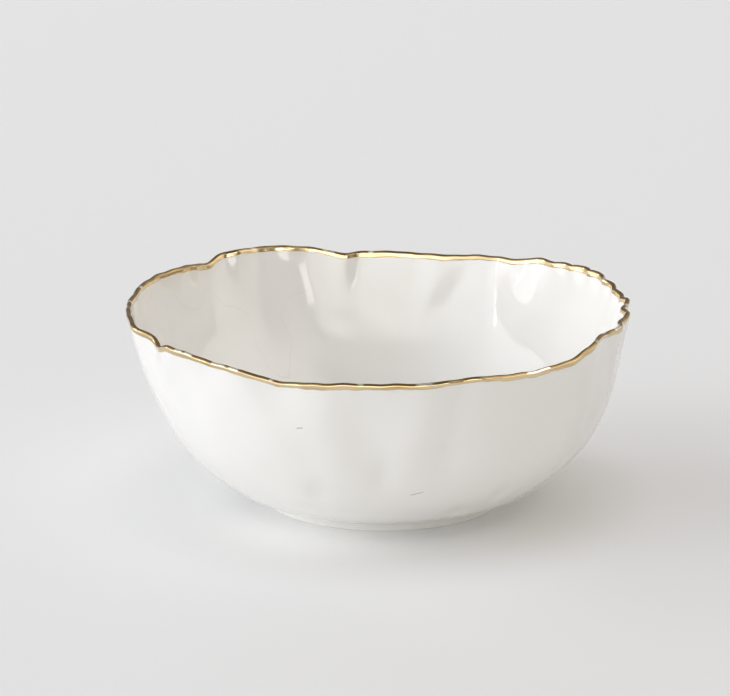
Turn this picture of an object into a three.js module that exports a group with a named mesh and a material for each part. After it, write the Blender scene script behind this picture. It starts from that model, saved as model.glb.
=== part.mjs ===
// A porcelain serving bowl with a hand-cut, gilded lip. Millimetres, +Z up, the table is at z = 0.
//
// The bowl is one thin shell on a low foot ring. Its wall leans a little to one side, is pressed into soft
// flutes and dimples, and ends in a wavy lip that carries a band of fired gold.
import * as THREE from "three";

// Foot ring
const footRadius = 61.3;
const footWidth = 5.2;
const footHeight = 5.2;
const footEdgeRadius = 1.2;

// Wall and floor
const wallThickness = 3.0;
const floorThickness = 4.4;
const lipThickness = 2.6;
const lipHeight = 94;
const wallLean = -3.1;
const leanStartHeight = 30;

// Shares of the wall's curve, from the base to the lip: where the thickness is wallThickness,
// where the inside leaves the floor, and the stretch at the lip that measures the curve's length
const middleShare = 0.5;
const insideStartShare = 0.06;
const lipProbeShare = 0.02;

// Gold band
const goldThickness = 0.35;
const goldGap = 0.2;
const goldDepthOutside = 3.6;
const goldDepthInside = 2.2;

// Gap between pieces that touch
const seatGap = 0.3;

// How far down the wall the bends of the lip are felt
const broadBendReach = 62;
const closeBendReach = 30;
const liftReach = 46;
const broadBendWindow = 16;
const broadBendStep = 4;

// Fineness of the facets
const bodySegments = 144;
const footSegments = 96;
const wallRows = 9;
const lipSteps = 3;

// Outside of the wall, from the edge of the flat base to the lip: [radius, height]
const wallOutline = [
  [62.6, footHeight],
  [76.0, 9.2],
  [86.8, 16.5],
  [97.8, 26.5],
  [107.6, 40.0],
  [115.8, 58.0],
  [121.2, 76.0],
  [125.6, lipHeight],
];

// Bends of the hand-cut lip, by bearing: [degrees, outward, upward]
const lipBends = [
  [0.5, -2, 3],
  [4, 0.5, 3],
  [8, 2, 3],
  [13, 1.5, 2.5],
  [20, 2, 4],
  [31, 1.5, 6.5],
  [38, -1, 6],
  [44, -1, 5],
  [50, 1, 4],
  [56, -0.5, 1.5],
  [64, 0, 1],
  [71, -1.5, 0],
  [80, -1, -0.5],
  [90, 0, 0],
  [99, 0.5, -1],
  [105, 1, 1.5],
  [112, 2.5, 4],
  [120, 4.5, 5],
  [126, 4.5, 5],
  [130, 6.5, 4],
  [134, 5.5, 1],
  [140, 2, 3.5],
  [147, 0, 5],
  [157, 0.5, 5.5],
  [165, 0.5, 5],
  [171, 0, 4.5],
  [180, 0, 4.5],
  [190, 0, 5],
  [197, 0.5, 4],
  [204, -3.5, 2.5],
  [208, -3, 0],
  [214, -0.5, 3],
  [220, -2.5, 2.5],
  [227, -4, 1],
  [236, -2.5, 0.5],
  [245, -5, -3],
  [252, -2.5, -2],
  [259, 0.5, -0.5],
  [270, 0, -0.5],
  [280, -0.5, -0.5],
  [292, 0.5, 0.5],
  [303, 1, -0.5],
  [315, 3, 1],
  [322, 3, 4],
  [330, -0.5, 5.5],
  [337, -2, 4],
  [343, 0, 3.5],
  [349, -2.5, 2.5],
  [352.5, -1, 3],
  [356, 0.5, 3.5],
];

// Thumb-pressed dimples, ridges and creases of the wall:
// [bearing, height, half width in degrees, half height, outward, slant in degrees per mm of height]
const dimples = [
  // In front, round from the left notch to the right.
  [196, 70, 8, 20, 0.9, 0],
  [194, 52, 6, 12, -1.1, 0],
  [212, 56, 8, 24, -0.9, 0],
  [226, 70, 8, 22, 0.8, 0],
  [239, 38, 6, 10, -0.9, 0],
  [241, 62, 7, 20, 0.7, 0],
  [232, 20, 7, 8, -0.6, 0],
  [247, 17, 4, 7, -0.6, 0],
  [256.5, 70, 5.5, 28, 1.7, -0.12],
  [252.5, 31, 3.2, 7, -1.1, 0],
  [266.5, 70, 5, 28, -2.2, -0.1],
  [270, 44, 3.2, 8, -1.3, 0],
  [278.6, 70, 4.6, 26, 2.5, 0.04],
  [286, 53, 3.8, 10, -1.5, 0],
  [288, 84, 2.6, 16, -1.2, 0.08],
  [296, 70, 6, 24, 0.8, 0],
  [294, 15, 4, 5, -0.8, 0],
  [306, 24, 4, 5, -0.7, 0],
  [308, 60, 8, 24, -0.7, 0],
  [322, 66, 8, 22, 0.7, 0],
  [336, 54, 8, 22, -0.8, 0],
  [349, 70, 7, 20, 0.8, 0],
  // Behind, round from the right to the left.
  [6, 56, 8, 22, -0.8, 0],
  [20, 72, 6, 16, 0.8, 0],
  [33, 56, 5, 10, -0.8, 0],
  [38, 76, 4, 10, 0.6, 0],
  [50, 70, 6, 20, -0.7, 0],
  [62, 74, 5, 22, 0.7, 0],
  [71.5, 76, 3.6, 22, 1.1, -0.16],
  [78, 78, 3.6, 22, -1, -0.12],
  [87.5, 86, 4, 16, -1.1, 0],
  [95.8, 88, 3.2, 15, 1.5, 0],
  [99.8, 88, 3, 13, -1.7, 0],
  [109, 84, 4, 20, 1.6, 0],
  [117, 70, 5, 24, -0.9, 0],
  [84, 50, 5, 9, 0.6, 0],
  [101, 60, 4, 7, -0.7, 0],
  [106, 52, 4, 7, 0.6, 0],
  [128, 60, 8, 22, 0.7, 0],
  [143, 68, 7, 20, -0.8, 0],
  [158, 58, 8, 22, 0.7, 0],
  [172, 66, 8, 20, -0.7, 0],
];

const toRadians = THREE.MathUtils.degToRad;
const smoothstep = THREE.MathUtils.smoothstep;

/** The slope of one column of lipBends at an entry, from its neighbours on both sides. */
function bendSlope(index, column) {
  const count = lipBends.length;
  const before = lipBends[(index + count - 1) % count];
  const after = lipBends[(index + 1) % count];
  const span = (after[0] - before[0] + 360) % 360;
  return (after[column] - before[column]) / span;
}

/** One column of lipBends at any bearing in degrees, as a smooth closed curve through the entries. */
function lipBend(bearing, column) {
  const angle = THREE.MathUtils.euclideanModulo(bearing, 360);
  const found = lipBends.findIndex((bend) => bend[0] > angle);
  const next = found < 0 ? 0 : found;
  const last = (next + lipBends.length - 1) % lipBends.length;
  const span = THREE.MathUtils.euclideanModulo(lipBends[next][0] - lipBends[last][0], 360);
  const t = THREE.MathUtils.euclideanModulo(angle - lipBends[last][0], 360) / span;
  const rise = t * t * (3 - 2 * t);
  const leave = t * (1 - t) * (1 - t) * span * bendSlope(last, column);
  const arrive = t * t * (1 - t) * span * bendSlope(next, column);
  return lipBends[last][column] * (1 - rise) + lipBends[next][column] * rise + leave - arrive;
}

/** The broad part of a lip column: its mean over a window either side of the bearing. */
function broadLipBend(bearing, column) {
  let sum = 0;
  let count = 0;
  for (let offset = -broadBendWindow; offset <= broadBendWindow; offset += broadBendStep) {
    sum += lipBend(bearing + offset, column);
    count += 1;
  }
  return sum / count;
}

/** How far the dimples push the wall outward at a bearing and height. */
function dimplePush(bearing, height) {
  let push = 0;
  for (const [centre, level, halfWidth, halfHeight, outward, slant] of dimples) {
    const middle = centre + slant * (height - level);
    const turn = THREE.MathUtils.euclideanModulo(bearing - middle + 180, 360) - 180;
    const across = turn / halfWidth;
    const along = (height - level) / halfHeight;
    push += outward * Math.exp(-(across * across + along * along));
  }
  return push;
}

/** Moves a point of the round bowl to its place on the leaning, pressed and wavy one. */
function press(point) {
  const radius = Math.hypot(point.x, point.y);
  if (radius < footRadius) {
    return point;
  }
  const angle = Math.atan2(point.y, point.x);
  const bearing = THREE.MathUtils.radToDeg(angle);
  const broad = broadLipBend(bearing, 1);
  const close = lipBend(bearing, 1) - broad;
  const broadShare = smoothstep(point.z, lipHeight - broadBendReach, lipHeight);
  const closeShare = smoothstep(point.z, lipHeight - closeBendReach, lipHeight);
  const liftShare = smoothstep(point.z, lipHeight - liftReach, lipHeight);
  const lean = wallLean * smoothstep(point.z, leanStartHeight, lipHeight);
  const dimpleShare = smoothstep(radius, footRadius, footRadius + broadBendReach / 2);
  const bent = lean * Math.cos(angle) + broad * broadShare + close * closeShare;
  const pressed = radius + bent + dimplePush(bearing, point.z) * dimpleShare;
  const lifted = point.z + lipBend(bearing, 2) * liftShare;
  return point.set(pressed * Math.cos(angle), pressed * Math.sin(angle), lifted);
}

/** A closed ring or dish turned from a profile of [radius, height] points, standing on the table. */
function turned(profile, segments, shape) {
  const geometry = new THREE.LatheGeometry(asPoints(profile), segments);
  geometry.rotateX(Math.PI / 2);
  if (shape) {
    const position = geometry.getAttribute("position");
    const point = new THREE.Vector3();
    for (let i = 0; i < position.count; i += 1) {
      shape(point.fromBufferAttribute(position, i));
      position.setXYZ(i, point.x, point.y, point.z);
    }
    geometry.computeVertexNormals();
  }
  return geometry;
}

/** Points for a curve or a lathe from [radius, height] pairs. */
function asPoints(pairs) {
  return pairs.map(([radius, height]) => new THREE.Vector2(radius, height));
}

/** The outside of the wall as a smooth curve. */
const outsideCurve = new THREE.SplineCurve(asPoints(wallOutline));

/** A point of the wall: share runs from the base, 0, to the lip, 1, and depth is measured in from outside. */
function wallPoint(share, depth) {
  const point = outsideCurve.getPoint(share);
  const along = outsideCurve.getTangent(share);
  return [point.x - along.y * depth, point.y + along.x * depth];
}

/** The share of the wall's curve that lies a distance below the lip, where the curve is nearly straight. */
function shareBelowLip(distance) {
  const probeLength = outsideCurve.getPoint(1).distanceTo(outsideCurve.getPoint(1 - lipProbeShare));
  return 1 - (lipProbeShare * distance) / probeLength;
}

/** The wall's thickness at a share of its curve: it thins from the floor to the middle and on to the lip. */
function thicknessAt(share) {
  if (share < middleShare) {
    return THREE.MathUtils.lerp(floorThickness, wallThickness, share / middleShare);
  }
  return THREE.MathUtils.lerp(wallThickness, lipThickness, (share - middleShare) / (1 - middleShare));
}

/** A half circle over the end of the wall, from depth near to depth far, centred a crown below the lip. */
function roundedLip(near, far) {
  const middle = (near + far) / 2;
  const radius = (far - near) / 2;
  const end = outsideCurve.getPoint(1);
  const along = outsideCurve.getTangent(1);
  const crown = lipThickness / 2;
  const points = [];
  for (let i = 0; i <= lipSteps; i += 1) {
    const turn = (Math.PI * i) / lipSteps;
    const depth = middle - radius * Math.cos(turn);
    const rise = radius * Math.sin(turn) - crown;
    points.push([end.x - along.y * depth + along.x * rise, end.y + along.x * depth + along.y * rise]);
  }
  return points;
}

/** The porcelain shell: flat base, curved wall, a lip let back to take the gold, and the inside. */
function bodyGeometry() {
  const letBack = goldThickness + goldGap;
  const outsideEnd = shareBelowLip(goldDepthOutside);
  const insideEnd = shareBelowLip(goldDepthInside);
  const profile = [[0, footHeight]];
  for (let i = 0; i <= wallRows; i += 1) {
    profile.push(wallPoint((outsideEnd * i) / wallRows, 0));
  }
  profile.push(wallPoint(outsideEnd, letBack));
  profile.push(...roundedLip(letBack, lipThickness - letBack));
  profile.push(wallPoint(insideEnd, lipThickness - letBack));
  for (let i = wallRows; i >= 0; i -= 1) {
    const share = insideStartShare + ((insideEnd - insideStartShare) * i) / wallRows;
    profile.push(wallPoint(share, thicknessAt(share)));
  }
  profile.push([footRadius - footWidth, footHeight + floorThickness]);
  profile.push([0, footHeight + floorThickness]);
  return turned(profile, bodySegments, press);
}

/** The gold: a thin band folded over the lip, deeper outside than inside. */
function goldGeometry() {
  const outsideEnd = shareBelowLip(goldDepthOutside - goldGap);
  const insideEnd = shareBelowLip(goldDepthInside - goldGap);
  const outer = [
    wallPoint(outsideEnd, 0),
    ...roundedLip(0, lipThickness),
    wallPoint(insideEnd, lipThickness),
  ];
  const inner = [
    wallPoint(outsideEnd, goldThickness),
    ...roundedLip(goldThickness, lipThickness - goldThickness),
    wallPoint(insideEnd, lipThickness - goldThickness),
  ];
  const profile = [...outer, ...inner.reverse(), outer[0]];
  return turned(profile, bodySegments, press);
}

/** The foot: a low ring with a rounded tread that stands under the base. */
function footGeometry() {
  const top = footHeight - seatGap;
  const inside = footRadius - footWidth;
  const slack = footEdgeRadius * (1 - Math.SQRT1_2);
  const profile = [
    [inside + footEdgeRadius, 0],
    [footRadius - footEdgeRadius, 0],
    [footRadius - slack, slack],
    [footRadius, footEdgeRadius],
    [footRadius, top],
    [inside, top],
    [inside, footEdgeRadius],
    [inside + slack, slack],
    [inside + footEdgeRadius, 0],
  ];
  return turned(profile, footSegments);
}

const porcelain = new THREE.MeshStandardMaterial({ color: "#f0eee9", roughness: 0.12, metalness: 0 });
const bareClay = new THREE.MeshStandardMaterial({ color: "#e6e1d6", roughness: 0.35, metalness: 0 });
const gold = new THREE.MeshStandardMaterial({ color: "#c9a86a", roughness: 0.22, metalness: 1 });

function named(name, geometry, material) {
  const mesh = new THREE.Mesh(geometry, material);
  mesh.name = name;
  return mesh;
}

const bowl = new THREE.Group();
bowl.add(named("bowl_body", bodyGeometry(), porcelain));
bowl.add(named("gold_rim", goldGeometry(), gold));
bowl.add(named("foot_ring", footGeometry(), bareClay));

// The origin is under the middle of the bowl's whole width, so the foot sits a little to one side of it.
const middle = new THREE.Box3().setFromObject(bowl, true).getCenter(new THREE.Vector3());
bowl.position.set(-middle.x, -middle.y, 0);

export default bowl;
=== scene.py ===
"""A porcelain serving bowl with a hand-cut gilded lip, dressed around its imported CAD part.

Each piece is worked out in millimetres about the centre of the foot ring, then set down in metres
where the frame's foot ring stands. The wall, the lip and the gold all take their shape from one
WallForm, so that they always fit each other.
"""

import logging
import math
from collections.abc import Iterable
from dataclasses import dataclass, field, replace
from enum import Enum

import bpy
import numpy as np
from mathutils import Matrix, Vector


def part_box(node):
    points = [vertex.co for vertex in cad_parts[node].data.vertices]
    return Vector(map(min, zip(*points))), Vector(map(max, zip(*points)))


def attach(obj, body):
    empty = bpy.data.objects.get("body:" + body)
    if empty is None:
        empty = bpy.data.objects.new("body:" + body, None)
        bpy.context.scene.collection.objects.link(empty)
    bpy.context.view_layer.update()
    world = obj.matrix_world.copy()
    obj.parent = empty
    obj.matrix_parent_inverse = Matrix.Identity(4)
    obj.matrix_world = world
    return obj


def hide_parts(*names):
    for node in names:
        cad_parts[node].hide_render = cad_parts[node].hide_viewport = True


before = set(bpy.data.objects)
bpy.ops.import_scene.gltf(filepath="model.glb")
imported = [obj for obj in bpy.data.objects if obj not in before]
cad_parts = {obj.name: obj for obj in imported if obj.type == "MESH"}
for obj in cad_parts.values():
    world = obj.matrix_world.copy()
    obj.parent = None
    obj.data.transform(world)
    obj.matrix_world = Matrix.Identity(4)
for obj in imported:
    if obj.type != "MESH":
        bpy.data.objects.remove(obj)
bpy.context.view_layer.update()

LOG = logging.getLogger("serving_bowl")
METRES_PER_MM = 0.001
ROOT_BODY = "root"

Tone = tuple[float, float, float]
Triple = tuple[float, float, float]
Pair = tuple[float, float]
Profile = list[list[float]]
Socket = bpy.types.NodeSocket


class Slot(Enum):
    """The record's material slots."""

    GLAZE = "glazed_porcelain"
    GOLD = "fired_gold"
    FOOT = "foot_porcelain"


# ---- Shape ----


def smoothstep(value: np.ndarray, low: float, high: float) -> np.ndarray:
    """Ease from 0 at low to 1 at high."""
    share = np.clip((np.asarray(value, dtype=float) - low) / (high - low), 0.0, 1.0)
    return share * share * (3.0 - 2.0 * share)


def turn_between(bearing: np.ndarray, centre: float) -> np.ndarray:
    """Degrees from centre round to bearing, from -180 to 180."""
    return (np.asarray(bearing) - centre + 180.0) % 360.0 - 180.0


@dataclass(frozen=True)
class Wave:
    """A small wave round the bowl: its size in millimetres, its count and its phase in radians."""

    size: float
    count: int
    phase: float


def waver(bearing: np.ndarray, waves: Iterable[Wave]) -> np.ndarray:
    """The sum of several waves, in millimetres, at bearings in degrees."""
    angle = np.radians(bearing)
    return sum(wave.size * np.sin(wave.count * angle + wave.phase) for wave in waves)


@dataclass(frozen=True)
class Dimple:
    """A soft hollow (outward below 0) or swell of the wall, pressed by a thumb in the wet clay.

    Its bearing and half width are in degrees, its height and half height in millimetres, and its
    slant in degrees a millimetre of height.
    """

    bearing: float
    height: float
    half_width: float
    half_height: float
    outward: float
    slant: float = 0.0

    def push(self, bearing: np.ndarray, height: np.ndarray) -> np.ndarray:
        """Outward move of the wall.

        Args:
            bearing: Degrees round the bowl.
            height: Millimetres above the table.

        Returns:
            Millimetres outward at each point.
        """
        along = (height - self.height) / self.half_height
        middle = self.bearing + self.slant * (height - self.height)
        across = turn_between(bearing, middle) / self.half_width
        return self.outward * np.exp(-(across**2 + along**2))


# Bends of the hand-cut lip: bearing in degrees, outward and upward in millimetres.
LIP_BENDS: tuple[Triple, ...] = (
    (0.5, -2, 3), (4, 0.5, 3), (8, 2, 3), (13, 1.5, 2.5), (20, 2, 4), (31, 1.5, 6.5),
    (38, -1, 6), (44, -1, 5), (50, 1, 4), (56, -0.5, 1.5), (64, 0, 1), (71, -1.5, 0),
    (80, -1, -0.5), (90, 0, 0), (99, 0.5, -1), (105, 1, 1.5), (112, 2.5, 4), (120, 4.5, 5),
    (126, 4.5, 5), (130, 6.5, 4), (134, 5.5, 1), (140, 2, 3.5), (147, 0, 5), (157, 0.5, 5.5),
    (165, 0.5, 5), (171, 0, 4.5), (180, 0, 4.5), (190, 0, 5), (197, 0.5, 4), (204, -3.5, 2.5),
    (208, -3, 0), (214, -0.5, 3), (220, -2.5, 2.5), (227, -4, 1), (236, -2.5, 0.5),
    (245, -5, -3), (252, -2.5, -2), (259, 0.5, -0.5), (270, 0, -0.5), (280, -0.5, -0.5),
    (292, 0.5, 0.5), (303, 1, -0.5), (315, 3, 1), (322, 3, 4), (330, -0.5, 5.5), (337, -2, 4),
    (343, 0, 3.5), (349, -2.5, 2.5), (352.5, -1, 3), (356, 0.5, 3.5),
)

DIMPLES: tuple[Dimple, ...] = (
    # In front, round from the left notch to the right.
    Dimple(196, 70, 8, 20, 0.9), Dimple(194, 52, 6, 12, -1.1), Dimple(212, 56, 8, 24, -0.9),
    Dimple(226, 70, 8, 22, 0.8), Dimple(239, 38, 6, 10, -0.9), Dimple(241, 62, 7, 20, 0.7),
    Dimple(232, 20, 7, 8, -0.6), Dimple(247, 17, 4, 7, -0.6),
    Dimple(256.5, 66, 5.5, 26, 1.3, -0.14), Dimple(252.5, 31, 3.2, 7, -1.1),
    Dimple(266.5, 66, 5.5, 26, -1.5, -0.10), Dimple(270.0, 44, 3.2, 8, -1.3),
    Dimple(278.6, 74, 4.6, 22, 1.9, 0.04), Dimple(286.0, 53, 3.8, 10, -1.5),
    Dimple(288.0, 84, 2.6, 16, -0.8, 0.08), Dimple(296, 70, 6, 24, 0.8), Dimple(294, 15, 4, 5, -0.8),
    Dimple(306, 24, 4, 5, -0.7), Dimple(308, 60, 8, 24, -0.7), Dimple(322, 66, 8, 22, 0.7),
    Dimple(336, 54, 8, 22, -0.8), Dimple(349, 70, 7, 20, 0.8),
    # Behind, round from the right to the left.
    Dimple(6, 56, 8, 22, -0.8), Dimple(20, 72, 6, 16, 0.8), Dimple(33, 56, 5, 10, -0.8),
    Dimple(38, 76, 4, 10, 0.6), Dimple(50, 70, 6, 20, -0.7), Dimple(62, 74, 5, 22, 0.7),
    Dimple(71.5, 76, 3.6, 22, 1.1, -0.16), Dimple(78, 78, 3.6, 22, -1.0, -0.12),
    Dimple(87.5, 86, 4.0, 16, -1.1), Dimple(95.8, 88, 3.2, 15, 1.5), Dimple(99.8, 88, 3.0, 13, -1.7),
    Dimple(109, 84, 4.6, 20, 0.5), Dimple(117, 70, 5.0, 24, -0.9), Dimple(84, 50, 5, 9, 0.6),
    Dimple(101, 60, 4, 7, -0.7), Dimple(106, 52, 4, 7, 0.6), Dimple(128, 60, 8, 22, 0.7),
    Dimple(143, 68, 7, 20, -0.8), Dimple(158, 58, 8, 22, 0.7), Dimple(172, 66, 8, 20, -0.7),
)


@dataclass
class WallForm:
    """The round bowl's profile, and the leaning, pressed and wavy form that it is shaped into."""

    outline: tuple[Pair, ...] = (
        (62.6, 5.2), (76.0, 9.2), (86.8, 16.5), (97.8, 26.5),
        (107.6, 40.0), (115.8, 58.0), (121.2, 76.0), (125.6, 94.0),
    )
    base_radius: float = 61.3
    lip_height: float = 94.0
    lip_thickness: float = 2.6
    wall_thickness: float = 3.0
    floor_thickness: float = 4.4
    lean: float = -3.1
    lean_start: float = 30.0
    broad_reach: float = 62.0
    close_reach: float = 30.0
    lift_reach: float = 46.0
    broad_window: float = 16.0
    table_step: float = 0.25
    middle_share: float = 0.5
    probe_share: float = 0.02
    fine_reach: float = 9.0
    knife_outward: tuple[Wave, ...] = (Wave(0.16, 31, 0.6), Wave(0.13, 53, 2.1))
    knife_upward: tuple[Wave, ...] = (Wave(0.12, 37, 1.9), Wave(0.10, 61, 0.3))
    scallop_centre: float = 24.0
    scallop_width: float = 6.4
    scallop_reach: float = 22.0
    scallop_ease: float = 6.0
    scallop_depth: float = 1.1
    scallop_mean: float = 0.6
    scallop_lift: float = 0.5

    def __post_init__(self) -> None:
        """Work the lip's bends out once, at every table_step degrees."""
        bearings = np.arange(0.0, 360.0, self.table_step)
        self._out = self._bend(bearings, 1)
        self._up = self._bend(bearings, 2)
        self._fine = self._fine_waver(bearings)
        window = int(self.broad_window / self.table_step)
        kernel = np.ones(2 * window + 1) / (2 * window + 1)
        wrapped = np.concatenate([self._out[-window:], self._out, self._out[:window]])
        self._broad = np.convolve(wrapped, kernel, mode="valid")

    @staticmethod
    def _bend(bearing: np.ndarray, column: int) -> np.ndarray:
        """One column of LIP_BENDS at any bearing, as a smooth closed curve through the entries.

        Args:
            bearing: Degrees round the bowl, from 0 to 360.
            column: 1 for outward, 2 for upward.

        Returns:
            Millimetres at each bearing.
        """
        bends = np.array(LIP_BENDS)
        ahead, behind = bends[:3] + [360, 0, 0], bends[-3:] - [360, 0, 0]
        knots = np.concatenate([behind, bends, ahead])
        at, value = knots[:, 0], knots[:, column]
        slope = (value[2:] - value[:-2]) / (at[2:] - at[:-2])
        index = np.searchsorted(at, bearing, side="right") - 1
        span = at[index + 1] - at[index]
        t = (bearing - at[index]) / span
        rise = t * t * (3 - 2 * t)
        leave = t * (1 - t) ** 2 * span * slope[index - 1]
        arrive = t * t * (1 - t) * span * slope[index]
        return value[index] * (1 - rise) + value[index + 1] * rise + leave - arrive

    def _fine_waver(self, bearing: np.ndarray) -> np.ndarray:
        """Small waves of the lip's edge: a knife's waver all round, and scallops at one side.

        Args:
            bearing: Degrees round the bowl, from 0 to 360.

        Returns:
            Outward and upward millimetres, as two rows.
        """
        place = turn_between(bearing, self.scallop_centre)
        bead = np.abs(np.sin(math.pi * place / self.scallop_width)) - self.scallop_mean
        inner = self.scallop_reach - self.scallop_ease
        bead = self.scallop_depth * bead * (1.0 - smoothstep(np.abs(place), inner, self.scallop_reach))
        outward = waver(bearing, self.knife_outward) + bead
        upward = waver(bearing, self.knife_upward) + self.scallop_lift * bead
        return np.stack([outward, upward])

    def _look_up(self, table: np.ndarray, bearing: np.ndarray) -> np.ndarray:
        """A table of the lip's bends read at any bearing."""
        at = (np.asarray(bearing) % 360.0) / self.table_step
        low = np.floor(at).astype(int) % len(table)
        share = at - np.floor(at)
        return table[low] * (1 - share) + table[(low + 1) % len(table)] * share

    def along(self, share: np.ndarray) -> tuple[np.ndarray, np.ndarray]:
        """Points and unit directions on the outside of the wall.

        Args:
            share: 0 at the edge of the base to 1 at the lip.

        Returns:
            Points as [radius, height] rows, and the curve's directions there.
        """
        points = np.array(self.outline)
        share = np.asarray(share, dtype=float)
        position = np.clip(share, 0.0, 1.0) * (len(points) - 1)
        start = np.minimum(position.astype(int), len(points) - 2)
        t = (position - start)[:, None]
        before = points[np.maximum(start - 1, 0)]
        p1, p2 = points[start], points[start + 1]
        after = points[np.minimum(start + 2, len(points) - 1)]
        v0, v1 = (p2 - before) / 2, (after - p1) / 2
        a, b = 2 * p1 - 2 * p2 + v0 + v1, -3 * p1 + 3 * p2 - 2 * v0 - v1
        place = ((a * t + b) * t + v0) * t + p1
        heading = (3 * a * t + 2 * b) * t + v0
        return place, heading / np.linalg.norm(heading, axis=1)[:, None]

    def wall_point(self, share: np.ndarray, depth: np.ndarray) -> np.ndarray:
        """Points of the wall.

        Args:
            share: 0 at the edge of the base to 1 at the lip.
            depth: Millimetres in from the outside.

        Returns:
            Points as [radius, height] rows.
        """
        place, heading = self.along(share)
        inward = np.stack([-heading[:, 1], heading[:, 0]], axis=1)
        return place + inward * np.asarray(depth, dtype=float).reshape(-1, 1)

    def share_below_lip(self, distance: float) -> float:
        """The share of the outline that lies a distance in millimetres below the lip."""
        ends, _ = self.along(np.array([1.0 - self.probe_share, 1.0]))
        return 1.0 - self.probe_share * distance / float(np.linalg.norm(ends[1] - ends[0]))

    def thickness(self, share: np.ndarray) -> np.ndarray:
        """The wall's thickness: it thins from the floor to the middle and on to the lip."""
        stops = [self.floor_thickness, self.wall_thickness, self.lip_thickness]
        return np.interp(share, [0.0, self.middle_share, 1.0], stops)

    def lip_arc(self, turn: np.ndarray, proud: float = 0.0) -> np.ndarray:
        """Points of the rounded lip.

        Args:
            turn: Radians, from 0 at the outside over the crown to pi at the inside.
            proud: How far outside the clay's own surface the points lie.

        Returns:
            Points as [radius, height] rows.
        """
        place, heading = self.along(np.array([1.0]))
        end, up = place[0], heading[0]
        inward = np.array([-up[1], up[0]])
        radius = self.lip_thickness / 2
        depth = radius - (radius + proud) * np.cos(turn)
        rise = (radius + proud) * np.sin(turn) - radius
        return end + depth[:, None] * inward + rise[:, None] * up

    def press(self, bearing: np.ndarray, radius: np.ndarray, height: np.ndarray) -> np.ndarray:
        """Shape points of the round bowl into the leaning, pressed and wavy one.

        Args:
            bearing: Degrees round the bowl.
            radius: Millimetres from the foot's axis.
            height: Millimetres above the table.

        Returns:
            Points as [x, y, z] in millimetres about the foot's centre, one for each input.
        """
        angle = np.radians(bearing)
        broad = self._look_up(self._broad, bearing)
        close = self._look_up(self._out, bearing) - broad
        top = self.lip_height
        bent = self.lean * np.cos(angle) * smoothstep(height, self.lean_start, top)
        bent = bent + broad * smoothstep(height, top - self.broad_reach, top)
        bent = bent + close * smoothstep(height, top - self.close_reach, top)
        fine = smoothstep(height, top - self.fine_reach, top)
        bent = bent + self._look_up(self._fine[0], bearing) * fine
        share = smoothstep(radius, self.base_radius, self.base_radius + self.broad_reach / 2)
        for dimple in DIMPLES:
            bent = bent + dimple.push(bearing, height) * share
        outside_base = radius > self.base_radius
        pressed = radius + np.where(outside_base, bent, 0.0)
        up = self._look_up(self._up, bearing) * smoothstep(height, top - self.lift_reach, top)
        up = up + self._look_up(self._fine[1], bearing) * fine
        lifted = height + np.where(outside_base, up, 0.0)
        return np.stack([pressed * np.cos(angle), pressed * np.sin(angle), lifted], axis=-1)


# ---- Mesh making ----


def foot_centre() -> Vector:
    """The centre of the frame's foot ring on the table, in metres."""
    low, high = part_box("foot_ring")
    return Vector(((low[0] + high[0]) / 2, (low[1] + high[1]) / 2, low[2]))


def ring_mesh(name: str, grid: np.ndarray, closed: bool) -> bpy.types.Object:
    """Make a smooth mesh from rows of points that each go once round the bowl.

    Args:
        name: The new object's name.
        grid: Points as [row, bearing, xyz] in millimetres about the foot's centre.
        closed: True joins the last row to the first; False closes each end to a single point.

    Returns:
        The object, with its points in metres in the frame.
    """
    rows, steps, _ = grid.shape
    centre = np.array(foot_centre())
    body = grid if closed else grid[1:-1]
    points = body.reshape(-1, 3) * METRES_PER_MM + centre
    around = np.arange(steps)
    following = (around + 1) % steps
    faces: list[tuple[int, ...]] = []
    count = body.shape[0]
    for row in range(count if closed else count - 1):
        low, high = row * steps, ((row + 1) % count) * steps
        quads = np.stack([low + around, low + following, high + following, high + around], axis=1)
        faces.extend(map(tuple, quads.tolist()))
    if not closed:
        first, last = len(points), len(points) + 1
        poles = grid[[0, -1], 0] * METRES_PER_MM + centre
        points = np.concatenate([points, poles])
        top = (count - 1) * steps
        faces.extend((first, int(n), int(a)) for a, n in zip(around, following))
        faces.extend((last, int(top + a), int(top + n)) for a, n in zip(around, following))
    mesh = bpy.data.meshes.new(name)
    mesh.from_pydata(points.tolist(), [], faces)
    mesh.validate()
    mesh.polygons.foreach_set("use_smooth", [True] * len(mesh.polygons))
    mesh.update()
    piece = bpy.data.objects.new(name, mesh)
    bpy.context.scene.collection.objects.link(piece)
    return piece


def swept(form: WallForm, bearings: np.ndarray, profile: np.ndarray) -> np.ndarray:
    """Sweep a profile round the bowl and press it into shape.

    Args:
        form: The bowl's form.
        bearings: Degrees round the bowl.
        profile: Points as [radius, height] rows.

    Returns:
        Points as [row, bearing, xyz] in millimetres.
    """
    radius = np.repeat(profile[:, :1], len(bearings), axis=1)
    height = np.repeat(profile[:, 1:], len(bearings), axis=1)
    turn = np.repeat(bearings[None, :], len(profile), axis=0)
    return form.press(turn, radius, height)


def settle(piece: bpy.types.Object, material: bpy.types.Material, node: str) -> None:
    """Dress a piece, and tell the frame what it rides on and replaces.

    Args:
        piece: The piece.
        material: Its finish.
        node: The CAD node that it replaces.
    """
    piece.data.materials.append(material)
    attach(piece, ROOT_BODY)
    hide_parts(node)


# ---- Finishes ----


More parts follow.
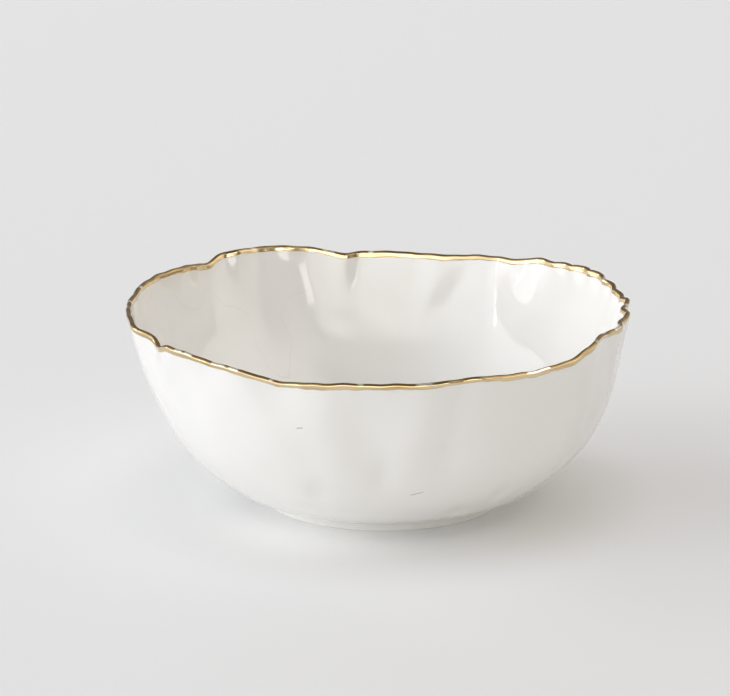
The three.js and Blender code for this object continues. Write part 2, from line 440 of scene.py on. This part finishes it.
class Graph:
    """A short way to lay out the nodes of a material, a world or a light."""

    def __init__(self, tree: bpy.types.NodeTree) -> None:
        """Work on one tree."""
        self.tree = tree

    def join(self, source: Socket, target: Socket) -> None:
        """Link two sockets."""
        self.tree.links.new(source, target)

    def feed(self, socket: Socket, value: Socket | float | tuple) -> None:
        """Give a socket its value, or the link that stands in its place."""
        if isinstance(value, Socket):
            self.join(value, socket)
        else:
            socket.default_value = value

    def add(self, kind: str, values: dict[str | int, Socket | float | tuple]) -> bpy.types.Node:
        """Add a node.

        Args:
            kind: The node's kind.
            values: A plain value or a socket for each input, by the input's name or number.

        Returns:
            The node.
        """
        node = self.tree.nodes.new(kind)
        for name, value in values.items():
            self.feed(node.inputs[name], value)
        return node

    def math(self, operation: str, *values: Socket | float) -> Socket:
        """The result of a math node on sockets or numbers."""
        node = self.add("ShaderNodeMath", dict(enumerate(values)))
        node.operation = operation
        return node.outputs["Value"]

    def vector(self, operation: str, *values: Socket | Triple) -> bpy.types.NodeOutputs:
        """The Vector and Value results of a vector math node on sockets or triples."""
        node = self.add("ShaderNodeVectorMath", dict(enumerate(values)))
        node.operation = operation
        return node.outputs

    def axes(self, source: Socket) -> bpy.types.NodeOutputs:
        """The X, Y and Z of a vector."""
        return self.add("ShaderNodeSeparateXYZ", {"Vector": source}).outputs

    def mix(self, share: Socket, first: Socket | Tone, second: Socket | Tone) -> Socket:
        """A colour mix.

        Args:
            share: 0 for the first colour to 1 for the second.
            first: A colour or a socket.
            second: A colour or a socket.

        Returns:
            The mixed colour's socket.
        """
        node = self.add("ShaderNodeMix", {"Factor": share})
        node.data_type = "RGBA"
        ends = [socket for socket in node.inputs if socket.type == "RGBA"]
        for socket, tone in zip(ends, (first, second)):
            self.feed(socket, (*tone, 1.0) if isinstance(tone, tuple) else tone)
        return next(socket for socket in node.outputs if socket.type == "RGBA")

    def fade(self, source: Socket, start: float, stop: float) -> Socket:
        """An easing fall.

        Args:
            source: The value to read.
            start: Where the fall starts.
            stop: Where it ends.

        Returns:
            1 from start outwards, easing to 0 at stop and past it.
        """
        node = self.add("ShaderNodeMapRange", {"Value": source, "From Min": stop, "From Max": start})
        node.interpolation_type = "SMOOTHSTEP"
        return node.outputs["Result"]


@dataclass(frozen=True)
class Relief:
    """A fine bumpiness: its waves a metre, layers of finer waves, height in metres and strength."""

    waves: float
    detail: float
    height: float
    strength: float


@dataclass(frozen=True)
class Scuff:
    """A short thin grey scratch on the glaze.

    Its place and direction are in metres in the piece's own space, along with its length and width.
    The two pairs say where its ends and its sides start and finish fading, as shares of those.
    """

    place: Triple
    heading: Triple
    length: float
    width: float
    end_fade: Pair = (0.3, 0.5)
    side_fade: Pair = (0.2, 0.6)


class Nodes(Graph):
    """The nodes of one material."""

    usual_range: Pair = (0.3, 0.7)
    inside_ease: float = 0.004

    def __init__(self, name: str) -> None:
        """Start an empty node material."""
        self.material = bpy.data.materials.new(name)
        self.material.use_nodes = True
        super().__init__(self.material.node_tree)
        self.tree.nodes.clear()
        places = self.add("ShaderNodeTexCoord", {}).outputs
        self.place, self.normal = places["Object"], places["Normal"]

    def shader(self) -> bpy.types.ShaderNode:
        """A principled shader wired to the material's output."""
        shader = self.add("ShaderNodeBsdfPrincipled", {})
        self.add("ShaderNodeOutputMaterial", {"Surface": shader.outputs["BSDF"]})
        return shader

    def stretched(self, scale: Triple) -> Socket:
        """Object coordinates stretched along each axis."""
        return self.add("ShaderNodeMapping", {"Vector": self.place, "Scale": scale}).outputs["Vector"]

    def noise(self, scale: float, detail: float = 2.0, source: Socket | None = None) -> Socket:
        """A noise pattern's value.

        Args:
            scale: Waves a metre.
            detail: How many finer layers are added.
            source: Coordinates, or None for the object's own.

        Returns:
            The noise's factor socket.
        """
        values = {"Vector": source or self.place, "Scale": scale, "Detail": detail}
        return self.add("ShaderNodeTexNoise", values).outputs["Fac"]

    def ramp(self, source: Socket, stops: list[tuple[float, Tone]]) -> Socket:
        """A colour ramp.

        Args:
            source: The value that runs along the ramp.
            stops: The position and colour of its two ends.

        Returns:
            The ramp's colour socket.
        """
        node = self.add("ShaderNodeValToRGB", {"Fac": source})
        for element, (position, colour) in zip(node.color_ramp.elements, stops):
            element.position = position
            element.color = (*colour, 1.0)
        return node.outputs["Color"]

    def spread(self, source: Socket, low: float, high: float) -> Socket:
        """A pattern's usual range spread from low to high."""
        start, stop = self.usual_range
        values = {"Value": source, "From Min": start, "From Max": stop, "To Min": low, "To Max": high}
        return self.add("ShaderNodeMapRange", values).outputs["Result"]

    def contour(self, source: Socket, level: float, width: float) -> Socket:
        """A thin line wherever a pattern crosses a level."""
        away = self.math("ABSOLUTE", self.math("SUBTRACT", source, level))
        return self.fade(away, 0.0, width)

    def before(self, axis: str, start: float, stop: float) -> Socket:
        """1 before start along one of the object's axes, easing to 0 at stop."""
        return self.fade(self.axes(self.place)[axis], start, stop)

    def distance(self, place: Triple) -> Socket:
        """The distance from a place in the piece's own space."""
        return self.vector("DISTANCE", self.place, place)["Value"]

    def upward(self) -> Socket:
        """How far the surface faces up: 1 for level ground, 0 for a wall."""
        return self.axes(self.normal)["Z"]

    def facing_in(self) -> Socket:
        """1 where the surface faces the piece's own origin, as the inside does, and 0 elsewhere."""
        facing = self.vector("DOT_PRODUCT", self.place, self.normal)["Value"]
        return self.fade(facing, -self.inside_ease, 0.0)

    def streak(self, scuff: Scuff) -> Socket:
        """The mark that a scuff leaves: 1 along its middle, tapering to its ends and sides."""
        offset = self.vector("SUBTRACT", self.place, scuff.place)["Vector"]
        near = self.vector("DOT_PRODUCT", offset, scuff.heading)["Value"]
        far = self.vector("LENGTH", offset)["Value"]
        squares = self.math("SUBTRACT", self.math("MULTIPLY", far, far), self.math("MULTIPLY", near, near))
        across = self.math("SQRT", self.math("MAXIMUM", squares, 0.0))
        ends = self.fade(self.math("ABSOLUTE", near), *(share * scuff.length for share in scuff.end_fade))
        sides = self.fade(across, *(share * scuff.width for share in scuff.side_fade))
        return self.math("MULTIPLY", ends, sides)

    def bump(self, source: Socket, height: float, strength: float, under: Socket | None = None) -> Socket:
        """A bump normal.

        Args:
            source: The pattern that raises the surface.
            height: Metres that it rises.
            strength: How strongly it shows, from 0 to 1.
            under: A normal that it is laid over, or None.

        Returns:
            The normal's socket.
        """
        values = {"Height": source, "Distance": height, "Strength": strength}
        if under is not None:
            values["Normal"] = under
        return self.add("ShaderNodeBump", values).outputs["Normal"]

    def relief(self, relief: Relief, under: Socket | None = None) -> Socket:
        """A fine bumpiness, laid over another normal when under is given."""
        return self.bump(self.noise(relief.waves, relief.detail), relief.height, relief.strength, under)


class Finish:
    """A finish, which lays its nodes out on a new material."""

    def lay_out(self, nodes: Nodes, inputs: bpy.types.NodeInputs) -> None:
        """Dress the shader's inputs."""
        raise NotImplementedError

    def build(self, name: str) -> bpy.types.Material:
        """Make a material with this finish."""
        nodes = Nodes(name)
        self.lay_out(nodes, nodes.shader().inputs)
        return nodes.material


@dataclass(frozen=True)
class GlazedPorcelain(Finish):
    """White bone china under a clear glossy glaze, with fine hairlines and a few scuffs."""

    light: Tone = (0.925, 0.915, 0.89)
    dark: Tone = (0.90, 0.885, 0.85)
    tone_waves: float = 9.0
    roughness: Pair = (0.05, 0.10)
    gloss_waves: float = 30.0
    coat: float = 0.6
    coat_roughness: float = 0.03
    refraction: float = 1.5
    translucency: float = 0.15
    translucency_depth: float = 0.003
    hairline: Tone = (0.66, 0.62, 0.55)
    hairline_share: float = 0.24
    hairline_waves: float = 17.0
    hairline_level: float = 0.52
    hairline_width: float = 0.0035
    hairline_side: Pair = (-0.045, -0.030)
    slow_waves: Relief = Relief(28.0, 1.0, 0.0003, 0.25)
    skin: Relief = Relief(500.0, 2.0, 0.00001, 0.12)
    scuff_tone: Tone = (0.42, 0.40, 0.38)
    scuffs: tuple[Scuff, ...] = ()

    def _tone(self, nodes: Nodes) -> Socket:
        """The clay's soft cloudy tone, with its hairlines and scuffs."""
        tone = nodes.ramp(nodes.noise(self.tone_waves, 3.0), [(0.35, self.dark), (0.65, self.light)])
        lines = nodes.contour(nodes.noise(self.hairline_waves), self.hairline_level, self.hairline_width)
        region = nodes.math("MULTIPLY", nodes.before("X", *self.hairline_side), nodes.facing_in())
        share = nodes.math("MULTIPLY", nodes.math("MULTIPLY", lines, region), self.hairline_share)
        tone = nodes.mix(share, tone, self.hairline)
        for scuff in self.scuffs:
            tone = nodes.mix(nodes.streak(scuff), tone, self.scuff_tone)
        return tone

    def lay_out(self, nodes: Nodes, inputs: bpy.types.NodeInputs) -> None:
        """Lay out the glaze's nodes."""
        nodes.join(self._tone(nodes), inputs["Base Color"])
        nodes.join(nodes.spread(nodes.noise(self.gloss_waves), *self.roughness), inputs["Roughness"])
        nodes.join(nodes.relief(self.skin, nodes.relief(self.slow_waves)), inputs["Normal"])
        inputs["IOR"].default_value = self.refraction
        inputs["Coat Weight"].default_value = self.coat
        inputs["Coat Roughness"].default_value = self.coat_roughness
        inputs["Subsurface Weight"].default_value = self.translucency
        inputs["Subsurface Radius"].default_value = (1.0, 1.0, 1.0)
        inputs["Subsurface Scale"].default_value = self.translucency_depth


@dataclass(frozen=True)
class FiredGold(Finish):
    """Bright gold brushed on and fired: streaked at the sides, with a painted dark reflection and painted
    glints on the crown.
    """

    bright: Tone = (0.82, 0.66, 0.41)
    deep: Tone = (0.62, 0.46, 0.25)
    # Painted reflection: the crown tone is a dark brown that stands for the dark room mirrored in the crown,
    # and the glint tone is painted glints of bright windows.
    crown: Tone = (0.32, 0.22, 0.09)
    painted_glint: Tone = (0.97, 0.91, 0.76)
    roughness: Pair = (0.04, 0.11)
    gloss_waves: float = 120.0
    streak_waves: Triple = (40.0, 40.0, 420.0)
    streak_height: float = 0.0001
    streak_strength: float = 0.3
    # Where the painted glints fall, and how far the gold must face up to take the painted reflection.
    painted_glint_waves: float = 80.0
    painted_reflection_slope: Pair = (0.55, 0.30)
    pooling: Relief = Relief(130.0, 1.0, 0.0004, 0.6)

    def lay_out(self, nodes: Nodes, inputs: bpy.types.NodeInputs) -> None:
        """Lay out the gold's nodes."""
        streaks = nodes.noise(1.0, 4.0, nodes.stretched(self.streak_waves))
        sides = nodes.ramp(streaks, [(0.35, self.deep), (0.55, self.bright)])
        # Painted reflection: the crown's colour is the dark room and the bright window glints that it would
        # mirror, painted into the base colour.
        top = nodes.ramp(nodes.noise(self.painted_glint_waves), [(0.58, self.crown), (0.63, self.painted_glint)])
        # The painted reflection takes over where the gold faces up.
        level = nodes.fade(nodes.upward(), *self.painted_reflection_slope)
        nodes.join(nodes.mix(level, sides, top), inputs["Base Color"])
        nodes.join(nodes.spread(nodes.noise(self.gloss_waves), *self.roughness), inputs["Roughness"])
        brush = nodes.bump(streaks, self.streak_height, self.streak_strength)
        nodes.join(nodes.relief(self.pooling, brush), inputs["Normal"])
        inputs["Metallic"].default_value = 1.0


@dataclass(frozen=True)
class BareClay(Finish):
    """The unglazed, polished tread of the foot ring."""

    light: Tone = (0.84, 0.81, 0.75)
    dark: Tone = (0.70, 0.66, 0.58)
    roughness: Pair = (0.45, 0.65)
    wear_waves: float = 90.0
    grit_waves: float = 420.0
    grit_height: float = 0.00008
    grit_strength: float = 0.5

    def lay_out(self, nodes: Nodes, inputs: bpy.types.NodeInputs) -> None:
        """Lay out the bare clay's nodes."""
        grit = nodes.noise(self.grit_waves, 4.0)
        nodes.join(nodes.ramp(grit, [(0.35, self.dark), (0.62, self.light)]), inputs["Base Color"])
        nodes.join(nodes.spread(nodes.noise(self.wear_waves), *self.roughness), inputs["Roughness"])
        nodes.join(nodes.bump(grit, self.grit_height, self.grit_strength), inputs["Normal"])


@dataclass(frozen=True)
class PalePaper(Finish):
    """The seamless pale floor of the studio, with the light that the glaze throws down beside the foot.

    The thrown light lies at a bearing in degrees and a distance in metres from the foot's centre.
    """

    colour: Tone = (0.765, 0.765, 0.765)
    roughness: float = 0.9
    sheen: float = 0.1
    glow_tone: Tone = (1.0, 1.0, 0.97)
    glow: float = 0.08
    thrown: float = 0.11
    thrown_at: Pair = (240.0, 0.076)
    thrown_reach: float = 0.066

    def lay_out(self, nodes: Nodes, inputs: bpy.types.NodeInputs) -> None:
        """Lay out the floor's nodes."""
        inputs["Base Color"].default_value = (*self.colour, 1.0)
        inputs["Roughness"].default_value = self.roughness
        inputs["Specular IOR Level"].default_value = self.sheen
        inputs["Emission Color"].default_value = (*self.glow_tone, 1.0)
        turn, radius = math.radians(self.thrown_at[0]), self.thrown_at[1]
        foot = foot_centre()
        spot = (foot.x + radius * math.cos(turn), foot.y + radius * math.sin(turn), 0.0)
        near = nodes.fade(nodes.distance(spot), 0.0, self.thrown_reach)
        glow = nodes.math("ADD", nodes.math("MULTIPLY", near, self.thrown), self.glow)
        nodes.join(glow, inputs["Emission Strength"])


# ---- The bowl's sub-assemblies ----


@dataclass
class Shell:
    """The porcelain body: flat base, curved wall, rounded lip and the inside."""

    form: WallForm
    finish: GlazedPorcelain = field(default_factory=GlazedPorcelain)
    steps: int = 720
    wall_rows: int = 52
    lip_rows: int = 12
    floor_rows: int = 8
    base_rows: int = 6
    row_crowding: float = 0.9
    floor_start: float = 0.08
    floor_bend: float = 10.0
    scuff_width: float = 0.0006
    scuff_search: int = 200
    scuffs: tuple[tuple[Pair, Pair], ...] = (
        ((249.4, 69.4), (251.4, 69.9)),
        ((276.8, 31.4), (281.0, 33.4)),
    )

    def profile(self) -> np.ndarray:
        """The closed outline of the clay, from the axis below to the axis above."""
        form = self.form
        shares = np.linspace(0.0, 1.0, self.wall_rows) ** self.row_crowding
        outside = form.wall_point(shares[:-1], np.zeros(len(shares) - 1))
        lip = form.lip_arc(np.linspace(0.0, math.pi, self.lip_rows))
        up = np.linspace(1.0, self.floor_start, self.wall_rows)[1:]
        inside = form.wall_point(up, form.thickness(up))
        floor_height = form.outline[0][1] + form.floor_thickness
        floor_edge = form.base_radius - self.floor_bend
        blend = self._floor_blend(inside[-1], inside[-2], np.array([floor_edge, floor_height]))
        flat = [[radius, floor_height] for radius in np.linspace(floor_edge, 0.0, self.floor_rows)]
        base = [[radius, form.outline[0][1]] for radius in np.linspace(0.0, form.base_radius, self.base_rows)]
        return np.concatenate([base, outside, lip, inside, blend, flat])

    def _floor_blend(self, start: np.ndarray, before: np.ndarray, end: np.ndarray) -> np.ndarray:
        """A smooth curve from the inside of the wall to the flat floor.

        Args:
            start: The wall's last point, as [radius, height].
            before: The wall's point before that one.
            end: The flat floor's first point.

        Returns:
            The curve's points without its ends, as [radius, height] rows.
        """
        reach = float(np.linalg.norm(end - start))
        heading = (start - before) / np.linalg.norm(start - before)
        t = np.linspace(0.0, 1.0, self.floor_rows)[1:-1, None]
        first, second = start + heading * reach / 3, end + np.array([reach / 3, 0.0])
        return start * (1 - t) ** 3 + first * 3 * t * (1 - t) ** 2 + second * 3 * t * t * (1 - t) + end * t**3

    def scuff_at(self, start: Pair, end: Pair) -> Scuff:
        """A scuff on the outside.

        Args:
            start: The bearing in degrees and the height in millimetres of one end.
            end: Those of the other.

        Returns:
            The scuff in the frame's metres.
        """
        ends = []
        for bearing, height in (start, end):
            shares = np.linspace(0.0, 1.0, self.scuff_search)
            wall = self.form.wall_point(shares, np.zeros(len(shares)))
            radius = np.interp(height, wall[:, 1], wall[:, 0])
            point = self.form.press(np.array([bearing]), np.array([radius]), np.array([height]))[0]
            ends.append(Vector(point) * METRES_PER_MM + foot_centre())
        middle, line = (ends[0] + ends[1]) / 2, ends[1] - ends[0]
        return Scuff(tuple(middle), tuple(line.normalized()), line.length, self.scuff_width)

    def build(self) -> bpy.types.Object:
        """Make the body's mesh and dress it."""
        marks = tuple(self.scuff_at(start, end) for start, end in self.scuffs)
        finish = replace(self.finish, scuffs=marks)
        bearings = np.arange(self.steps) * 360.0 / self.steps
        grid = swept(self.form, bearings, self.profile())
        piece = ring_mesh("porcelain_body", grid, closed=False)
        settle(piece, finish.build("clear_glaze_on_china"), "bowl_body")
        return piece


@dataclass
class GoldBand:
    """The fired gold over the lip, with the uneven edges that a brush leaves."""

    form: WallForm
    finish: FiredGold = field(default_factory=FiredGold)
    steps: int = 1440
    depth_outside: float = 2.3
    depth_inside: float = 2.8
    film: float = 0.07
    film_rise: float = 6.0
    buried: float = 0.12
    side_rows: int = 7
    arc_rows: int = 12
    brush_outside: tuple[Wave, ...] = (
        Wave(0.22, 7, 1.1), Wave(0.16, 17, 0.4), Wave(0.10, 41, 2.0), Wave(0.06, 97, 0.7),
    )
    brush_inside: tuple[Wave, ...] = (
        Wave(0.22, 7, 3.4), Wave(0.16, 17, 5.0), Wave(0.10, 41, 4.3), Wave(0.06, 97, 0.7),
    )

    def __post_init__(self) -> None:
        """Work out the bearings of the band's points."""
        self._bearings = np.arange(self.steps) * 360.0 / self.steps

    def _wall_row(self, depth_below: np.ndarray, depth_in: float) -> np.ndarray:
        """One row round the wall.

        Args:
            depth_below: Millimetres below the lip at each bearing.
            depth_in: Millimetres in from the outside.

        Returns:
            Points as [x, y, z].
        """
        unit = 1.0 - self.form.share_below_lip(1.0)
        section = self.form.wall_point(1.0 - unit * depth_below, np.full(self.steps, depth_in))
        return self.form.press(self._bearings, section[:, 0], section[:, 1])

    def _arc_row(self, turn: float, proud: float) -> np.ndarray:
        """One row round the lip, with turn and proud as for lip_arc."""
        section = np.repeat(self.form.lip_arc(np.array([turn]), proud), self.steps, axis=0)
        return self.form.press(self._bearings, section[:, 0], section[:, 1])

    def build(self) -> bpy.types.Object:
        """Make the band's mesh and dress it."""
        thickness = self.form.lip_thickness
        crown = thickness / 2
        outer = self.depth_outside + waver(self._bearings, self.brush_outside) - crown
        inner = self.depth_inside + waver(self._bearings, self.brush_inside) - crown
        down = np.linspace(1.0, 0.0, self.side_rows)
        raised = self.film * np.minimum(1.0, (1.0 - down) * self.film_rise)
        side = list(zip(down, raised))[:-1]
        turns = np.linspace(0.0, math.pi, self.arc_rows)
        rows = [self._wall_row(crown + outer * share, -lift) for share, lift in side]
        rows += [self._arc_row(turn, self.film) for turn in turns]
        rows += [self._wall_row(crown + inner * share, thickness + lift) for share, lift in side[::-1]]
        rows += [self._wall_row(crown + inner * share, thickness - self.buried) for share in (1.0, 0.0)]
        rows += [self._arc_row(turn, -self.buried) for turn in turns[::-2]]
        rows += [self._wall_row(crown + outer * share, self.buried) for share in (0.0, 1.0)]
        piece = ring_mesh("gold_band", np.stack(rows), closed=True)
        settle(piece, self.finish.build("brushed_on_gold"), "gold_rim")
        return piece


@dataclass
class FootRing:
    """The low ring that the bowl stands on, and its bare tread."""

    glaze: GlazedPorcelain = field(default_factory=GlazedPorcelain)
    clay: BareClay = field(default_factory=BareClay)
    radius: float = 61.3
    width: float = 5.2
    height: float = 5.2
    edge: float = 1.2
    sunk: float = 0.2
    flare: float = 1.4
    flare_height: float = 1.6
    tread_margin: float = 0.55
    tread_rise: float = 0.12
    tread_proud: float = 0.02
    tread_depth: float = 0.35
    corner_rows: int = 7
    wall_rows: int = 8
    steps: int = 540

    def _turned(self, name: str, section: Profile, material: bpy.types.Material) -> bpy.types.Object:
        """Turn a closed section round the foot's axis and dress it.

        Args:
            name: The piece's name.
            section: Its [radius, height] points.
            material: Its finish.

        Returns:
            The piece.
        """
        profile = np.array(section)
        angle = np.radians(np.arange(self.steps) * 360.0 / self.steps)
        radius, height = profile[:, :1], profile[:, 1:]
        grid = np.stack([radius * np.cos(angle), radius * np.sin(angle), height + 0.0 * angle], axis=-1)
        piece = ring_mesh(name, grid, closed=True)
        settle(piece, material, "foot_ring")
        return piece

    def _ring(self) -> Profile:
        """The section of the glazed ring, which flares out into the body above."""
        inside, edge = self.radius - self.width, self.edge
        corner = np.linspace(0.0, math.pi / 2, self.corner_rows)
        fall = [edge - edge * math.cos(turn) for turn in corner]
        out = [edge * math.sin(turn) for turn in corner]
        outer = [[self.radius - edge + reach, z] for reach, z in zip(out, fall)]
        inner = [[inside + edge - reach, z] for reach, z in zip(out[::-1], fall[::-1])]
        top = self.height + self.sunk
        rise = np.linspace(edge, top, self.wall_rows)[1:]
        swell = self.flare * smoothstep(rise, self.height - self.flare_height, top) ** 2
        outer_wall = [[self.radius + more, z] for more, z in zip(swell, rise)]
        inner_wall = [[inside, z] for z in rise[::-1]]
        return outer + outer_wall + inner_wall + inner

    def _tread(self) -> Profile:
        """The section of the bare tread: a thin strip let into the bottom of the ring."""
        near, far = self.radius - self.width + self.edge, self.radius - self.edge
        return [
            [near - self.tread_margin, self.tread_rise],
            [near, -self.tread_proud],
            [far, -self.tread_proud],
            [far + self.tread_margin, self.tread_rise],
            [far, self.tread_depth],
            [near, self.tread_depth],
        ]

    def build(self) -> list[bpy.types.Object]:
        """Make the glazed ring and its bare tread."""
        ring = self._turned("foot_ring_glazed", self._ring(), self.glaze.build("glaze_on_foot"))
        tread = self._turned("foot_tread_bare", self._tread(), self.clay.build("bare_clay"))
        return [ring, tread]


# ---- Studio ----


def towards(bearing: float, height: float) -> Triple:
    """The unit direction at a bearing, from +X towards +Y, and a height, both in degrees."""
    turn, rise = math.radians(bearing), math.radians(height)
    return math.cos(turn) * math.cos(rise), math.sin(turn) * math.cos(rise), math.sin(rise)


@dataclass(frozen=True)
class RoomPatch:
    """A soft-edged piece of the room, which lights the bowl and shows in the glaze.

    Its bearing, height, half sizes and edge are in degrees as seen from the bowl.
    """

    bearing: float
    height: float
    half_width: float
    half_height: float
    edge: float
    tone: Tone


@dataclass(frozen=True)
class Softbox:
    """A soft light that faces the bowl from a bearing and a height in degrees, with its watts."""

    name: str
    bearing: float
    height: float
    power: float


@dataclass(frozen=True)
class Card(Softbox):
    """A large soft card that shows only in the glaze and the gold, with its width and height in metres."""

    size: Pair


class Sky(Graph):
    """The nodes of a world that is brighter on one side and has patches laid over it."""

    def __init__(self, tree: bpy.types.NodeTree) -> None:
        """Work out each direction's bearing and height in degrees."""
        super().__init__(tree)
        self.direction = self.add("ShaderNodeTexCoord", {}).outputs["Generated"]
        axes = self.axes(self.direction)
        turn, rise = self.math("ARCTAN2", axes["Y"], axes["X"]), self.math("ARCSINE", axes["Z"])
        self.bearing = self.math("MULTIPLY", turn, math.degrees(1.0))
        self.height = self.math("MULTIPLY", rise, math.degrees(1.0))

    def glow(self, low: Tone, high: Tone, side: Triple, spread: float) -> Socket:
        """A tone that rises from low to high towards one side; a greater spread makes it narrower."""
        facing = self.vector("DOT_PRODUCT", self.direction, side)["Value"]
        return self.mix(self.math("POWER", self.math("MAXIMUM", facing, 0.0), spread), low, high)

    def within(self, away: Socket, reach: float, edge: float) -> Socket:
        """1 where away is less than reach, falling smoothly to 0 over twice the edge."""
        return self.fade(self.math("ABSOLUTE", away), reach - edge, reach + edge)

    def lay(self, under: Socket, patch: RoomPatch) -> Socket:
        """Lay one patch over the room.

        Args:
            under: The room's tone so far.
            patch: What to lay over it.

        Returns:
            The room's tone with the patch.
        """
        turned = self.math("WRAP", self.math("SUBTRACT", self.bearing, patch.bearing), 180.0, -180.0)
        raised = self.math("SUBTRACT", self.height, patch.height)
        across = self.within(turned, patch.half_width, patch.edge)
        along = self.within(raised, patch.half_height, patch.edge)
        return self.mix(self.math("MULTIPLY", across, along), under, patch.tone)


@dataclass
class Studio:
    """The pale floor, the soft light and the camera."""

    camera_distance: float = 2.2
    camera_height: float = 0.701
    camera_turn: float = -0.244
    camera_dip: float = 15.85
    lens: float = 225.9
    sensor: float = 36.0
    sight: float = 100.0
    floor_size: float = 30.0
    room_tone: Tone = (0.34, 0.32, 0.30)
    window_tone: Tone = (1.98, 2.06, 2.12)
    window_side: Pair = (195.0, 8.0)
    window_spread: float = 3.0
    patches: tuple[RoomPatch, ...] = (
        RoomPatch(280.0, 12.0, 20.0, 20.0, 7.0, (0.97, 0.91, 0.82)),
        RoomPatch(285.0, 48.0, 38.0, 16.0, 8.0, (0.50, 0.47, 0.42)),
        RoomPatch(15.0, 38.0, 53.0, 32.0, 9.0, (0.68, 0.63, 0.56)),
        RoomPatch(311.0, 20.0, 11.5, 50.0, 2.5, (0.18, 0.17, 0.15)),
        RoomPatch(305.0, 17.0, 4.0, 4.5, 0.4, (3.0, 3.0, 2.9)),
        RoomPatch(203.0, 11.0, 1.2, 4.0, 0.3, (7.0, 7.0, 7.0)),
        RoomPatch(160.0, 16.0, 4.0, 7.0, 0.5, (5.0, 5.1, 5.2)),
    )
    softbox_size: float = 3.0
    softbox_distance: float = 6.0
    softbox_aim: float = 0.05
    softbox_tone: Tone = (0.86, 0.89, 1.0)
    softboxes: tuple[Softbox, ...] = (
        Softbox("key_softbox", 150.0, 20.0, 48.0),
        Softbox("side_softbox", 192.0, 20.0, 54.0),
        Softbox("rear_softbox", 106.0, 14.0, 60.0),
        Softbox("top_softbox", 20.0, 86.0, 56.0),
    )
    card_tone: Tone = (1.0, 0.98, 0.94)
    cards: tuple[Card, ...] = (
        Card("front_card", 268.0, 17.0, 250.0, (12.0, 4.6)),
        Card("right_card", 0.0, 36.0, 390.0, (12.0, 8.0)),
    )

    def floor(self) -> None:
        """Lay the seamless floor under the foot."""
        half = self.floor_size / 2
        corners = [(-half, -half, 0.0), (half, -half, 0.0), (half, half, 0.0), (-half, half, 0.0)]
        mesh = bpy.data.meshes.new("studio_floor")
        mesh.from_pydata(corners, [], [(0, 1, 2, 3)])
        floor = bpy.data.objects.new("studio_floor", mesh)
        floor.location.z = foot_centre().z
        bpy.context.scene.collection.objects.link(floor)
        mesh.materials.append(PalePaper().build("pale_paper"))

    def camera(self) -> None:
        """Set the camera up in front of the bowl."""
        lens = bpy.data.cameras.new("camera")
        lens.lens = self.lens
        lens.sensor_width = self.sensor
        lens.sensor_fit = "HORIZONTAL"
        lens.clip_end = self.sight
        camera = bpy.data.objects.new("camera", lens)
        foot = foot_centre()
        camera.location = foot + Vector((0.0, -self.camera_distance, self.camera_height))
        turn = math.radians(90.0 - self.camera_dip)
        camera.rotation_euler = (turn, 0.0, -math.radians(self.camera_turn))
        bpy.context.scene.collection.objects.link(camera)
        bpy.context.scene.camera = camera

    def lamp(self, box: Softbox) -> bpy.types.Object:
        """Hang one soft light, which neither the camera nor the glaze sees.

        Args:
            box: Where it hangs and how strong it is.

        Returns:
            The light's object.
        """
        light = bpy.data.lights.new(box.name, "AREA")
        light.shape = "SQUARE"
        light.size = self.softbox_size
        light.energy = box.power
        light.color = self.softbox_tone
        lamp = bpy.data.objects.new(box.name, light)
        away = Vector(towards(box.bearing, box.height))
        lamp.location = Vector((0.0, 0.0, self.softbox_aim)) + away * self.softbox_distance
        lamp.rotation_mode = "QUATERNION"
        lamp.rotation_quaternion = (-away).to_track_quat("-Z", "Y")
        lamp.visible_camera = False
        lamp.visible_glossy = False
        bpy.context.scene.collection.objects.link(lamp)
        return lamp

    def card(self, card: Card) -> None:
        """Stand one large card where the glaze and the gold mirror it."""
        stood = self.lamp(card)
        stood.data.shape = "RECTANGLE"
        stood.data.size, stood.data.size_y = card.size
        stood.data.color = self.card_tone
        stood.visible_glossy = True
        stood.visible_diffuse = False
        self._soften(stood.data)

    @staticmethod
    def _soften(light: bpy.types.Light) -> None:
        """Make a card's light fade smoothly to nothing at its edges."""
        light.use_nodes = True
        graph = Graph(light.node_tree)
        place = graph.axes(graph.add("ShaderNodeNewGeometry", {}).outputs["Parametric"])
        humps = [graph.math("SINE", graph.math("MULTIPLY", place[axis], math.pi)) for axis in ("X", "Y")]
        graph.join(graph.math("MULTIPLY", *humps), graph.tree.nodes["Emission"].inputs["Strength"])

    def world(self) -> None:
        """Light the room: an even warm tone, a broad window glow, and what the glaze mirrors."""
        world = bpy.data.worlds.new("room")
        bpy.context.scene.world = world
        world.use_nodes = True
        sky = Sky(world.node_tree)
        side = towards(*self.window_side)
        tone = sky.glow(self.room_tone, self.window_tone, side, self.window_spread)
        for patch in self.patches:
            tone = sky.lay(tone, patch)
        sky.join(tone, world.node_tree.nodes["Background"].inputs["Color"])

    def build(self) -> None:
        """Set the studio up."""
        bpy.context.scene.view_settings.view_transform = "Standard"
        bpy.context.scene.view_settings.look = "None"
        self.floor()
        self.world()
        for box in self.softboxes:
            self.lamp(box)
        for card in self.cards:
            self.card(card)
        self.camera()


def main() -> None:
    """Build the studio and the bowl, piece by piece."""
    logging.basicConfig(level=logging.INFO, format="%(name)s: %(message)s")
    Studio().build()
    form = WallForm()
    pieces = [Shell(form).build(), GoldBand(form).build(), *FootRing().build()]
    for piece in pieces:
        LOG.info("%s: %d faces", piece.name, len(piece.data.polygons))


if __name__ == "__main__":
    main()
